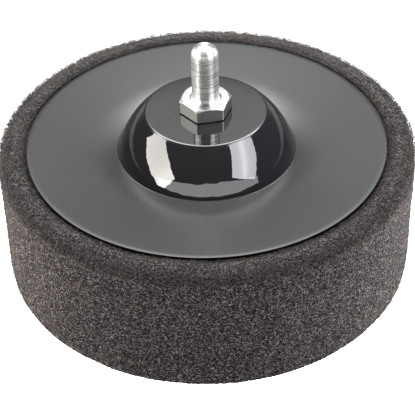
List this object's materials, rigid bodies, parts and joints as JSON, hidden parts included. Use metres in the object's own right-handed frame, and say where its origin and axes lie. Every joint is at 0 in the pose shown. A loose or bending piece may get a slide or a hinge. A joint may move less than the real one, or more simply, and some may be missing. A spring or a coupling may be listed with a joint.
{
  "type": "polishing pad",
  "caption": "Round foam polishing pad glued under a dished gloss black backing plate, with a plain round shank and hexagon collar for a drill chuck.",
  "frame": {"origin": "centre of the foam's flat working face", "axes": "+Z along the shank, away from the working face; the hexagon collar's corners start 11 degrees from +X"},
  "size_m": [0.126, 0.126, 0.0742],
  "materials": {
    "foam": "matte",
    "adhesive": "satin",
    "plate": "gloss",
    "shank": "satin",
    "fasteners": "satin"
  },
  "bodies": {
    "root": {"foam_pad": "foam", "adhesive_layer": "adhesive", "backing_plate": "plate", "drive_shank": "shank", "flat_washer": "fasteners", "spring_washer": "fasteners", "hex_nut": "fasteners"}
  },
  "joints": []
}
